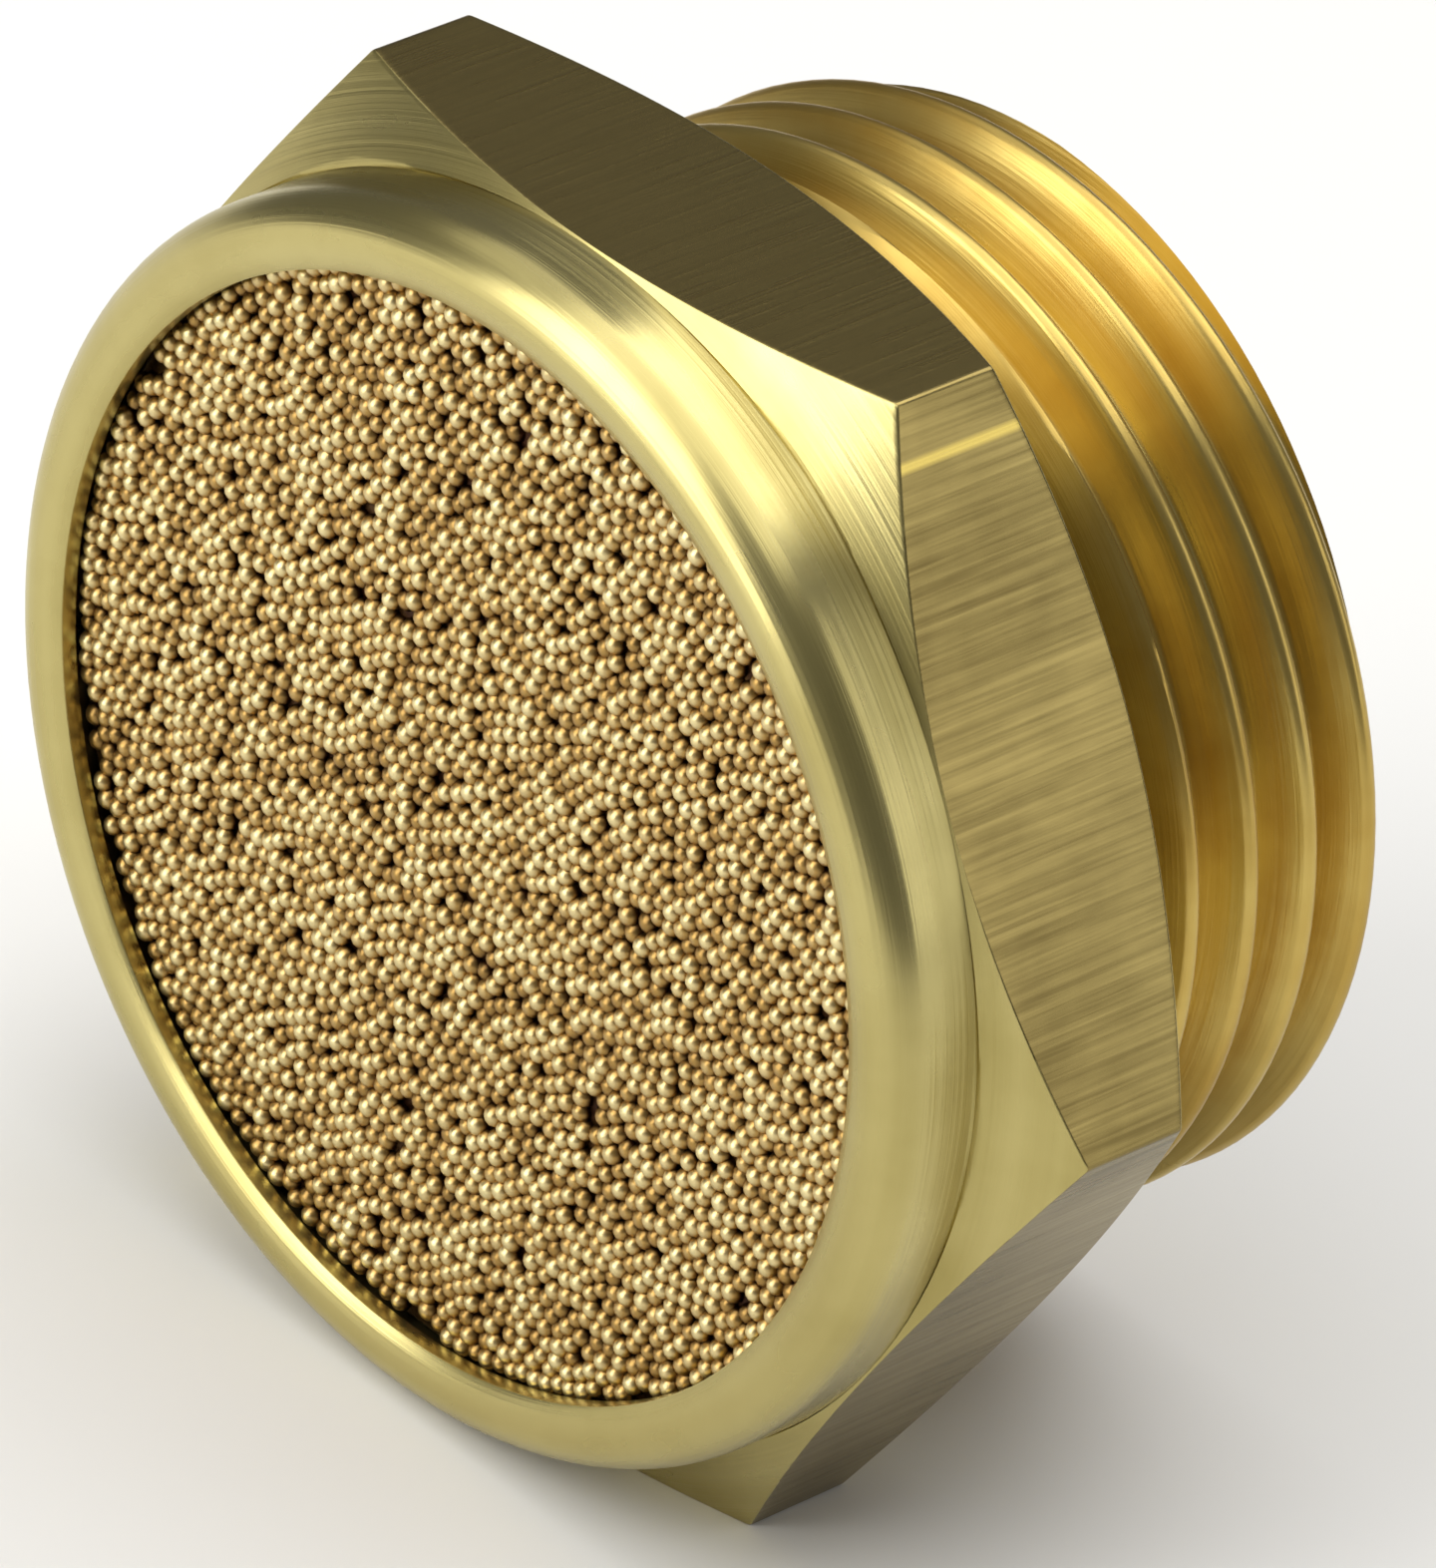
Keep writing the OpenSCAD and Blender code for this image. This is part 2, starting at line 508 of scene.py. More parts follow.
@dataclass(frozen=True)
class SinteredBronzeFinish:
    """Tin bronze beads, CuSn10, sintered bare.

    It gives the eye a pale golden grain: each bead is satin on top, and its colour is
    painted darker with depth, brown down the sides and almost black in the gaps between
    the beads, as painted shade.

    Attributes:
        name: The material's name.
        crown: Colour of a bead's top.
        flank: Colour of a bead's side, partly painted shade.
        pore_shade: Painted shade at the bottom of the pores.
        roughness: Roughness of the beads' skin.
        shade_depth_mm: Depth at which the painted shade is at its darkest.
        flank_share: Share of that depth at which the flank colour is reached.
        speckle_mm: Size of the patches in which the beads' colour differs.
        peel_mm: Size of the fine grain in a bead's skin.
        peel_depth_mm: Depth of that grain.
    """

    name: str = "sintered_bronze_beads"
    crown: str = "#E0D09A"
    flank: str = "#A8864A"
    pore_shade: str = "#341B08"
    roughness: float = 0.34
    shade_depth_mm: float = 0.27
    flank_share: float = 0.42
    speckle_mm: float = 0.9
    peel_mm: float = 0.12
    peel_depth_mm: float = 0.02

    def material(self, face_y: float, outward: float) -> bpy.types.Material:
        """Build the material for one side of the disc.

        Args:
            face_y: The plane of the bead tops, in metres.
            outward: The direction that the side faces along Y, 1 or -1.

        Returns:
            The new material.
        """
        made = bpy.data.materials.new(self.name)
        tree = empty_tree(made)
        place = add_node(tree, "ShaderNodeTexCoord").outputs["Object"]
        parts = add_node(tree, "ShaderNodeSeparateXYZ", {"Vector": place})
        # Painted shade: the deeper a point lies under the bead tops, the darker its
        # colour, brown on the sides and almost black at the bottom of the gaps
        deep = face_y - outward * self.shade_depth_mm * MM
        depth = add_node(
            tree, "ShaderNodeMapRange",
            {"Value": parts.outputs["Y"], "From Min": face_y, "From Max": deep,
             "To Min": 0.0, "To Max": 1.0},
        )
        # Each bead took a slightly different colour in the furnace
        speckle = add_node(
            tree, "ShaderNodeTexNoise",
            {"Vector": place, "Scale": 1 / (self.speckle_mm * MM), "Detail": 2.0},
        )
        spread = add_node(
            tree, "ShaderNodeMath", {0: speckle.outputs["Fac"], 1: 0.5, 2: -0.25},
            operation="MULTIPLY_ADD",
        )
        level = add_node(
            tree, "ShaderNodeMath", {0: depth.outputs[0], 1: spread.outputs[0]},
            operation="ADD", use_clamp=True,
        )
        shade_ramp = add_node(tree, "ShaderNodeValToRGB", {"Fac": level.outputs[0]})
        bands = shade_ramp.color_ramp.elements
        bands[0].color = linear(self.crown)
        bands[1].color = linear(self.pore_shade)
        middle = bands.new(self.flank_share)
        middle.color = linear(self.flank)
        # Fine orange-peel of the fused skin, far below a bead's size
        peel = add_node(
            tree, "ShaderNodeTexNoise",
            {"Vector": place, "Scale": 1 / (self.peel_mm * MM), "Detail": 2.0},
        )
        bump = add_node(
            tree, "ShaderNodeBump",
            {"Height": peel.outputs["Fac"], "Strength": 0.6,
             "Distance": self.peel_depth_mm * MM},
        )
        skin = add_node(
            tree, "ShaderNodeBsdfPrincipled",
            {"Base Color": shade_ramp.outputs[0], "Metallic": 0.9,
             "Roughness": self.roughness, "Normal": bump.outputs[0]},
        )
        add_node(tree, "ShaderNodeOutputMaterial", {"Surface": skin.outputs[0]})
        return made


BODY_FINISHES: dict[Region, BrassFinish] = {
    # Turned faces: fine rings that draw each highlight out into a bright sweep
    Region.TURNED: BrassFinish(
        name="turned_brass_face", colour="#C1B478", shade="#A99B5F", roughness=0.28,
        anisotropy=0.55, rotation=0.25, mark_mm=0.14, mark_depth_mm=0.014,
    ),
    # Flats as the bar was drawn, with straight streaks along the axis; their darker colour
    # is painted shade, standing in for the dim surroundings that the flats reflect
    Region.DRAWN: BrassFinish(
        name="drawn_brass_flat", colour="#A08E57", shade="#73643A", roughness=0.24,
        anisotropy=0.4, rotation=0.0, mark_mm=0.15, mark_depth_mm=0.01,
        along_axis=True, waviness=0.12, score=ScoredLine(),
    ),
    # Thread cut with a die: the warmest and cleanest of the metal
    Region.THREAD: BrassFinish(
        name="die_cut_brass_thread", colour="#D0B86C", shade="#AC8A3E", roughness=0.3,
        anisotropy=0.35, rotation=0.25, mark_mm=0.13, mark_depth_mm=0.01,
    ),
    # Bore: clean rings, a little duller than the outside
    Region.BORE: BrassFinish(
        name="bored_brass", colour="#C8AE62", shade="#9C803A", roughness=0.32,
        anisotropy=0.55, rotation=0.25, mark_mm=0.16, mark_depth_mm=0.006,
    ),
}


# ---------------------------------------------------------------- the body


@dataclass(frozen=True)
class PipeThread:
    """The male thread, ISO 228 form with its rounded crests and roots.

    Attributes:
        major_r: Radius over the crests, in mm.
        minor_r: Radius at the roots, in mm.
        pitch: Pitch in mm.
        flank_deg: Angle between two flanks.
        rounding: Radius of crests and roots, in mm.
        round_steps: Straight steps in each of those arcs.
        crest_y: Where the crest crosses the +X side, in mm from the shoulder.
        steps: Steps in a whole turn.
    """

    major_r: float = 13.2205
    minor_r: float = 12.0585
    pitch: float = 1.814
    flank_deg: float = 55.0
    rounding: float = 0.249
    round_steps: int = 6
    crest_y: float = 0.64
    steps: int = 120

    def section(self, first_crest: float) -> list[Point]:
        """Draw one pitch of the thread, from one flank's middle to the next but one.

        Args:
            first_crest: Height of the crest in this pitch, in mm.

        Returns:
            Points (r, y) in mm.
        """
        # The sharp V stands past the rounded crest and root by a sixth of its height
        overshoot = self.pitch / (12 * math.tan(math.radians(self.flank_deg / 2)))
        middle_r = (self.major_r + self.minor_r) / 2
        quarter = self.pitch / 4
        crest = (self.major_r + overshoot, first_crest)
        root = (self.minor_r - overshoot, first_crest + 2 * quarter)
        return rounded_outline([
            Corner(middle_r, first_crest - quarter),
            Corner(*crest, self.rounding, self.round_steps),
            Corner(*root, self.rounding, self.round_steps),
            Corner(middle_r, first_crest + 3 * quarter),
        ])

    def cut(
        self, bm: bmesh.types.BMesh, start_y: float, end_y: float,
        envelope: Callable[[float], float],
    ) -> None:
        """Add the helical surface between two heights.

        Args:
            bm: The mesh that gets the surface.
            start_y: Lower end of the thread, in mm.
            end_y: Upper end of the thread, in mm.
            envelope: Greatest radius at each height, in mm.
        """
        first_crest = self.crest_y - self.pitch * math.ceil(
            (self.crest_y + self.pitch - start_y) / self.pitch
        )
        turns = math.ceil((end_y - first_crest) / self.pitch) + 1
        points = self.section(first_crest)
        verts = [bm.verts.new((r * MM, y * MM, 0.0)) for r, y in points]
        edges = [bm.edges.new(pair) for pair in zip(verts, verts[1:])]
        rise = self.pitch / self.steps * MM
        bmesh.ops.spin(
            bm, geom=verts + edges, cent=CENTRE, axis=THREAD_AXIS,
            dvec=(0.0, rise, 0.0), angle=FULL_TURN * turns, steps=self.steps * turns,
            use_merge=False,
        )
        bmesh.ops.remove_doubles(bm, verts=bm.verts[:], dist=THREAD_WELD)
        for vert in bm.verts:
            r, angle = polar(vert.co)
            limit = envelope(vert.co.y / MM) * MM
            if r > limit:
                place_polar(vert, limit, vert.co.y, angle)
        for height, up in ((start_y, -1.0), (end_y, 1.0)):
            bmesh.ops.bisect_plane(
                bm, geom=bm.verts[:] + bm.edges[:] + bm.faces[:], dist=CUT_REACH,
                plane_co=(0.0, height * MM, 0.0), plane_no=(0.0, up, 0.0),
                clear_outer=True,
            )


@dataclass
class ThreadedBody:
    """The one-piece brass body, turned and threaded from hexagon bar.

    Attributes:
        across_flats: Width over the flats, in mm.
        crest_y: Front of the rolled lip, in mm.
        end_y: Free end of the thread, in mm.
        disc_front: Front plane of the disc, in mm.
        disc_back: Rear plane of the disc, which is the bottom of its seat, in mm.
        thread: The male thread.
        meridians: Steps round the head.
        collar_r, foot_y: Radius of the collar, and where it meets the hexagon.
        washer_r, recess_r, recess_y: The washer face, and the recess inside it.
        relief_r, relief_end: Radius of the relief groove, and where the thread starts.
        lip_r, lip_drop, lip_rolled: Opening of the lip, how far its inner edge lies
            behind its crest, and the radius that its outer side is rolled to.
        seat_r, bore_r, bore_chamfer: The disc's seat, the air bore and its chamfer.
        end_chamfer, end_ring_r: Chamfer of the thread's end, and the radius at which the
            bored part of the end face meets the threaded part.
        foot_groove, groove_run, groove_lip: Depth and run of the fine groove that the
            tool's tip leaves at the collar's foot, and how far its floor stands proud.
        edge_break, corner_break: Rounding of the cones' outer edges and of the
            hexagon's corners.
        fine_edge: Rounding of the edges that were left sharp.
        support_gap: Distance of the extra rings from a face's edges.
        chamfer_slope: Slope of the cones that cut the hexagon's corners.
        crowding: How strongly the steps round the head crowd towards the corners.
        sharp_deg: Edges that turn by more than this are shaded sharp, in degrees.
    """

    across_flats: float
    crest_y: float
    end_y: float
    disc_front: float
    disc_back: float
    thread: PipeThread = field(default_factory=PipeThread)
    meridians: int = 240

    collar_r: float = 14.95
    foot_y: float = -5.85
    washer_r: float = 14.43
    recess_r: float = 13.4
    recess_y: float = -0.15
    relief_r: float = 11.9
    relief_end: float = 1.0
    lip_r: float = 13.25
    lip_drop: float = 0.2
    lip_rolled: float = 1.0
    seat_r: float = 13.6
    bore_r: float = 10.25
    bore_chamfer: float = 0.4
    end_chamfer: float = 0.5
    end_ring_r: float = 11.6
    foot_groove: float = 0.07
    groove_run: float = 0.16
    groove_lip: float = 0.03
    edge_break: float = 0.09
    corner_break: float = 0.14
    fine_edge: float = 0.03
    support_gap: float = 0.12
    chamfer_slope: float = math.tan(math.radians(30))
    crowding: float = 0.85
    sharp_deg: float = 38

    @property
    def corner_r(self) -> float:
        """Radius of the hexagon's sharp corners, in mm."""
        return self.across_flats / 2 / math.cos(SECTOR / 2)

    def outline(self) -> list[Point]:
        """Draw the head and the air way, from the relief groove round to the end face.

        Returns:
            Points (r, y) in mm.
        """
        front_corner = self.foot_y + (self.corner_r - self.collar_r) * self.chamfer_slope
        rear_corner = -(self.corner_r - self.washer_r) * self.chamfer_slope
        crest_r = self.collar_r - self.lip_rolled
        run = crest_r - self.lip_r
        inner_round = (run ** 2 + self.lip_drop ** 2) / (2 * self.lip_drop)
        tilt = math.atan(self.lip_drop / run)
        knee_r = crest_r - inner_round * math.tan(tilt)
        fine = self.fine_edge
        groove_r = self.collar_r + self.groove_run
        corners = [
            # The open ring is tucked a little under the root of the thread's first turn
            Corner(self.relief_r - fine, self.relief_end),
            Corner(self.relief_r - fine, self.relief_end - fine),
            Corner(self.relief_r, self.recess_y, 0.25, 4),
            Corner(self.recess_r, self.recess_y, fine, 2),
            Corner(self.recess_r, 0.0, fine, 2),
            Corner(self.washer_r, 0.0, 0.06),
            Corner(self.corner_r, rear_corner, self.edge_break),
            Corner(self.corner_r, front_corner, self.edge_break),
            Corner(groove_r, self.foot_y + self.groove_run * self.chamfer_slope),
            Corner(self.collar_r + self.groove_lip, self.foot_y + self.foot_groove),
            Corner(self.collar_r, self.foot_y - 0.02, 0.01, 2),
            Corner(self.collar_r, self.crest_y, self.lip_rolled, 14),
            Corner(knee_r, self.crest_y, inner_round, 10),
            Corner(self.lip_r, self.crest_y + self.lip_drop, 0.1, 4),
            Corner(self.lip_r, self.disc_front, 0.05, 2),
            Corner(self.seat_r, self.disc_front),
            Corner(self.seat_r, self.disc_back),
            Corner(self.bore_r, self.disc_back, 0.1, 2),
            Corner(self.bore_r, self.end_y - self.bore_chamfer, fine, 2),
            Corner(self.bore_r + self.bore_chamfer, self.end_y, fine, 2),
            Corner(self.end_ring_r, self.end_y),
        ]
        return with_support(rounded_outline(corners), self.support_gap)

    def hexagon_r(self, off_corner: float) -> float:
        """Radius of the hexagon with broken corners.

        Args:
            off_corner: Angle from the nearest corner, in radians.

        Returns:
            The radius in that direction, in mm.
        """
        flat = self.across_flats / 2
        middle = (flat - self.corner_break) / math.cos(SECTOR / 2)
        straight = flat / math.cos(SECTOR / 2 - off_corner)
        sine = middle * math.sin(off_corner)
        if sine >= self.corner_break:
            return straight
        arc = middle * math.cos(off_corner) + math.sqrt(self.corner_break ** 2 - sine ** 2)
        return min(straight, arc)

    def press_to_hexagon(self, bm: bmesh.types.BMesh) -> None:
        """Move the spun rim's rings onto the six flats and the cones that cut them.

        Args:
            bm: The spun head.
        """
        middle_y = self.foot_y / 2
        for vert in bm.verts:
            r, angle = polar(vert.co)
            share = (angle / SECTOR) % 1.0
            sector = math.floor(angle / SECTOR)
            share -= self.crowding * math.sin(FULL_TURN * share) / FULL_TURN
            angle = (sector + share) * SECTOR
            r, y = r / MM, vert.co.y / MM
            front = y < middle_y
            base = self.collar_r if front else self.washer_r
            # Only the hexagon stands out past its base circles
            if r > base + 0.001 and self.foot_y - 0.2 < y < 0.0:
                off_corner = min(share, 1 - share) * SECTOR
                squeeze = (self.hexagon_r(off_corner) - base) / (self.corner_r - base)
                pressed = base + (r - base) * squeeze
                slope = self.chamfer_slope if front else -self.chamfer_slope
                y += (pressed - r) * slope
                r = pressed
            place_polar(vert, r * MM, y * MM, angle)

    def envelope(self, y: float) -> float:
        """Give the thread's greatest radius: its run-out, its crests or its end chamfer.

        Args:
            y: Height along the axis, in mm.

        Returns:
            The radius at that height, in mm.
        """
        run_out = self.relief_r + max(0.0, y - self.relief_end)
        lead_in = self.thread.major_r - self.end_chamfer + max(0.0, self.end_y - y)
        return min(self.thread.major_r, run_out, lead_in)

    def join(self, bm: bmesh.types.BMesh) -> None:
        """Close the flat rings between the head's open edges and the thread's.

        Args:
            bm: The mesh with the head and the thread, still open.
        """
        open_edges = [e for e in bm.edges if e.is_boundary]
        middle = (self.relief_end + self.end_y) / 2 * MM
        for up in (-1.0, 1.0):
            ring = [e for e in open_edges if (e.verts[0].co.y - middle) * up > 0]
            bmesh.ops.triangle_fill(
                bm, use_beauty=True, use_dissolve=False, edges=ring,
                normal=(0.0, up, 0.0),
            )

    def region_of(self, face: bmesh.types.BMFace) -> Region:
        """Say which way a face was made, from its place and its direction.

        Args:
            face: A face of the finished body.

        Returns:
            The region that it belongs to.
        """
        centre = face.calc_center_median()
        r, y = polar(centre)[0] / MM, centre.y / MM
        within = 0.01
        if r < self.bore_r + self.bore_chamfer and y > self.disc_back - within:
            return Region.BORE
        # The thread takes in its run-out and stops short of the flat end face
        on_stub = self.relief_end - 0.2 < y < self.end_y - within / 10
        if on_stub and r > self.relief_r - 0.1:
            return Region.THREAD
        upright = abs(face.normal.y) < 0.3
        if upright and r > self.across_flats / 2 - within and self.foot_y < y < 0.0:
            return Region.DRAWN
        return Region.TURNED

    def build(self) -> bpy.types.Object:
        """Build the body as one closed mesh.

        Returns:
            The body, without its finishes.
        """
        bm = bmesh.new()
        spin_outline(bm, self.outline(), self.meridians)
        self.press_to_hexagon(bm)
        head = bpy.data.meshes.new("head")
        bm.to_mesh(head)
        bm.clear()
        self.thread.cut(bm, self.relief_end, self.end_y, self.envelope)
        bm.from_mesh(head)
        bpy.data.meshes.remove(head)
        self.join(bm)
        bmesh.ops.recalc_face_normals(bm, faces=bm.faces[:])
        for face in bm.faces:
            face.smooth = True
            face.material_index = self.region_of(face)
        log.info("brass_body: %d open edges", sum(not e.is_manifold for e in bm.edges))
        mesh = to_mesh(bm, "brass_body")
        mesh.set_sharp_from_angle(angle=math.radians(self.sharp_deg))
        return add_piece(mesh, "brass_body", "threaded_body")

    def dress(self, piece: bpy.types.Object) -> None:
        """Give the body its finishes, one for each way of working."""
        for region in Region:
            piece.data.materials.append(BODY_FINISHES[region].material())


# ---------------------------------------------------------------- the porous disc


@dataclass
class PorousDisc:
    """The sintered disc: a core with a bed of fused beads on each side.

    Attributes:
        radius: Radius of the disc, in mm.
        front_y: Plane of the front bead tops, in mm.
        back_y: Plane of the rear bead tops, in mm.
        front_open_r: Radius of the front bed, out to just under the lip, in mm.
        back_open_r: Radius of the rear bed, which shows in the bore, in mm.
        bead_r: Mean radius of a bead, in mm.
        bead_sizes: Smallest and largest bead, as shares of that.
        bead_slices, bead_stacks: Steps round a bead, and from pole to pole of its ball.
        bead_cut: How far under its middle a bead is cut off, as a share of its radius.
        spacing: Mean distance between neighbouring beads, in mm.
        missing: Share of the places that no bead fills.
        shake: Spread of the beads' places before they settle, as a share of spacing.
        rounds: How often the beads push each other apart.
        push: Share of an overlap that one round takes away.
        batch: Number of beads that are pushed at a time.
        sink: How far the lowest beads lie under the face, in mm.
        seed: Seed of the random packing.
        core_depth: Depth of the core's faces under the beads' tops, in mm.
        core_steps: Steps round the core.
        core_room: How much smaller in radius the core is than the disc, in mm.
        core_edge: Rounding of the core's edges, in mm.
        sharp_deg: Edges that turn by more than this are shaded sharp, in degrees.
        finish: The disc's finish.
    """

    radius: float
    front_y: float
    back_y: float
    front_open_r: float = 13.3
    back_open_r: float = 10.3
    bead_r: float = 0.3
    bead_sizes: tuple[float, float] = (0.88, 1.08)
    bead_slices: int = 9
    bead_stacks: int = 8
    bead_cut: float = 0.3
    spacing: float = 0.44
    missing: float = 0.05
    shake: float = 0.42
    rounds: int = 14
    push: float = 0.8
    batch: int = 100
    sink: float = 0.12
    seed: int = 7
    core_depth: float = 0.34
    core_steps: int = 96
    core_room: float = 0.05
    core_edge: float = 0.2
    sharp_deg: float = 40
    finish: SinteredBronzeFinish = field(default_factory=SinteredBronzeFinish)

    def pack(self, open_r: float, rng: np.random.Generator) -> np.ndarray:
        """Lay beads in a round bed, shaken together until few of them overlap.

        Args:
            open_r: Radius of the bed, in mm.
            rng: The random source.

        Returns:
            One row (x, z) for each bead, in mm.
        """
        row = self.spacing * math.sqrt(3) / 2
        count = int(open_r / row) + 2
        grid = [
            ((i + (j % 2) / 2) * self.spacing, j * row)
            for j in range(-count, count + 1)
            for i in range(-count - 1, count + 2)
        ]
        places = np.array(grid)
        places = places[np.hypot(places[:, 0], places[:, 1]) < open_r]
        keep = rng.random(len(places)) > self.missing
        spread = self.shake * self.spacing
        places = places[keep] + rng.normal(0.0, spread, (keep.sum(), 2))
        rim_r = open_r - self.bead_r / 2
        no_gap = 1e-9
        for _ in range(self.rounds):
            # Sorted by x, so that each batch has its neighbours in one stretch
            places = places[np.argsort(places[:, 0])]
            moves = np.zeros_like(places)
            for start in range(0, len(places), self.batch):
                part = places[start:start + self.batch]
                reach = (part[0, 0] - self.spacing, part[-1, 0] + self.spacing)
                first, last = np.searchsorted(places[:, 0], reach)
                gap = part[:, None, :] - places[None, first:last, :]
                apart = np.hypot(gap[..., 0], gap[..., 1])
                near = (apart < self.spacing) & (apart > no_gap)
                overlap = (self.spacing - apart) / np.maximum(apart, no_gap)
                weight = np.where(near, overlap, 0)
                moves[start:start + self.batch] = (gap * weight[..., None]).sum(axis=1) / 2
            places += moves * self.push
            r = np.hypot(places[:, 0], places[:, 1])
            out = r > rim_r
            places[out] *= (rim_r / r[out])[:, None]
        return places

    def bead(self) -> tuple[np.ndarray, list[tuple[int, ...]]]:
        """Make one dome of unit radius that points along +Y.

        Returns:
            The dome's points and its faces.
        """
        bm = bmesh.new()
        bmesh.ops.create_uvsphere(
            bm, u_segments=self.bead_slices, v_segments=self.bead_stacks, radius=1.0
        )
        bmesh.ops.rotate(
            bm, cent=CENTRE, matrix=Matrix.Rotation(-math.pi / 2, 3, "X"),
            verts=bm.verts[:],
        )
        cut = bmesh.ops.bisect_plane(
            bm, geom=bm.verts[:] + bm.edges[:] + bm.faces[:], dist=0.0001,
            plane_co=(0.0, -self.bead_cut, 0.0), plane_no=(0.0, -1.0, 0.0),
            clear_outer=True,
        )
        rim = [e for e in cut["geom_cut"] if isinstance(e, bmesh.types.BMEdge)]
        bmesh.ops.contextual_create(bm, geom=rim)
        bmesh.ops.recalc_face_normals(bm, faces=bm.faces[:])
        bm.verts.index_update()
        points = np.array([v.co[:] for v in bm.verts])
        faces = [tuple(v.index for v in f.verts) for f in bm.faces]
        bm.free()
        return points, faces

    def bed(
        self, name: str, open_r: float, face_y: float, outward: float, seed: int
    ) -> bpy.types.Object:
        """Build one side's bed of beads.

        Args:
            name: The piece's name.
            open_r: Radius of the bed, in mm.
            face_y: Plane of the bead tops, in mm.
            outward: The direction that the side faces along Y, 1 or -1.
            seed: Seed of this bed's packing.

        Returns:
            The bed.
        """
        rng = np.random.default_rng(seed)
        places = self.pack(open_r, rng)
        count = len(places)
        points, faces = self.bead()
        sizes = self.bead_r * rng.uniform(*self.bead_sizes, count)
        sunk = rng.random(count) ** 2 * self.sink
        turns = rng.uniform(0, FULL_TURN, count)
        cos, sin = np.cos(turns)[:, None], np.sin(turns)[:, None]
        x = (points[:, 0] * cos - points[:, 2] * sin) * sizes[:, None] + places[:, :1]
        z = (points[:, 0] * sin + points[:, 2] * cos) * sizes[:, None] + places[:, 1:]
        level = face_y - outward * (sunk + sizes)
        y = outward * points[:, 1] * sizes[:, None] + level[:, None]
        where = np.stack([x, y, z], axis=2).reshape(-1, 3) * MM
        # A dome that faces -Y is a mirrored one, so its faces turn over
        order = faces if outward > 0 else [f[::-1] for f in faces]
        all_faces = [
            tuple(i + k * len(points) for i in f) for k in range(count) for f in order
        ]
        mesh = bpy.data.meshes.new(name)
        mesh.from_pydata(where.tolist(), [], all_faces)
        mesh.polygons.foreach_set("use_smooth", [True] * len(mesh.polygons))
        mesh.materials.append(self.finish.material(face_y * MM, outward))
        log.info("%s: %d beads", name, count)
        return add_piece(mesh, name, "sintered_disc")

    def core(self) -> bpy.types.Object:
        """Build the core under the beads, as a plain disc with broken edges.

        Returns:
            The core.
        """
        front = self.front_y + self.core_depth
        back = self.back_y - self.core_depth
        core_r = self.radius - self.core_room
        bm = bmesh.new()
        outline = rounded_outline([
            Corner(0.0, front),
            Corner(core_r, front, self.core_edge),
            Corner(core_r, back, self.core_edge),
            Corner(0.0, back),
        ])
        spin_outline(bm, outline, self.core_steps)
        bmesh.ops.recalc_face_normals(bm, faces=bm.faces[:])
        for face in bm.faces:
            face.smooth = True
        mesh = to_mesh(bm, "disc_core")
        mesh.set_sharp_from_angle(angle=math.radians(self.sharp_deg))
        # The core gets the beads' finish past its darkest depth, so it is painted shade
        # all over and shows dark where the beads leave gaps
        mesh.materials.append(self.finish.material(self.front_y * MM, -1.0))
        return add_piece(mesh, "disc_core", "sintered_disc")

    def build(self) -> list[bpy.types.Object]:
        """Build the core and both beds."""
        return [
            self.core(),
            self.bed("front_beads", self.front_open_r, self.front_y, -1.0, self.seed),
            self.bed("rear_beads", self.back_open_r, self.back_y, 1.0, self.seed + 1),
        ]


# ---------------------------------------------------------------- the studio


def direction(azimuth: float, elevation: float) -> Vector:
    """Give the unit vector towards an azimuth and an elevation.

    Args:
        azimuth: Angle round the vertical from straight in front of the disc, in degrees.
        elevation: Height angle in degrees.

    Returns:
        The direction.
    """
    around, up = math.radians(azimuth), math.radians(elevation)
    return Vector((
        math.sin(around) * math.cos(up), -math.cos(around) * math.cos(up), math.sin(up),
    ))


def looking_from(
    back: Vector, distance: float, aim: Sequence[float] = CENTRE
) -> Matrix:
    """Place a camera or a light so that it looks at a point.

    Args:
        back: Unit vector from the point towards the camera or light.
        distance: Distance from the point, in mm.
        aim: The point, in mm.

    Returns:
        The matrix that puts the camera or light there.
    """
    turn = back.to_track_quat("Z", "Y").to_matrix().to_4x4()
    return Matrix.Translation((Vector(aim) + back * distance) * MM) @ turn


@dataclass(frozen=True)
class Viewpoint:
    """Where the camera stands.

    Attributes:
        azimuth: Angle round the vertical from straight in front of the disc, in degrees.
        elevation: Height angle in degrees.
        roll: Turn of the camera about its own axis, in degrees.
        distance: Distance from the point it looks at, in mm.
        aim: The point it looks at, in mm.
        lens: Focal length in mm.
        sensor: Height of the picture that the lens throws, in mm.
    """

    azimuth: float = 44.26
    elevation: float = 33.36
    roll: float = 7.17
    distance: float = 338.1
    aim: tuple[float, float, float] = (0.62, -0.25, -0.92)
    lens: float = 344.8
    sensor: float = 36.0

    def build(self) -> None:
        """Build the camera and make it the scene's."""
        data = bpy.data.cameras.new("camera")
        data.sensor_fit = "VERTICAL"
        data.sensor_height = self.sensor
        data.lens = self.lens
        data.clip_start = 0.01
        data.clip_end = 10.0
        camera = add_object("camera", data)
        back = direction(self.azimuth, self.elevation)
        roll = Matrix.Rotation(math.radians(self.roll), 4, "Z")
        camera.matrix_world = looking_from(back, self.distance, self.aim) @ roll
        bpy.context.scene.camera = camera


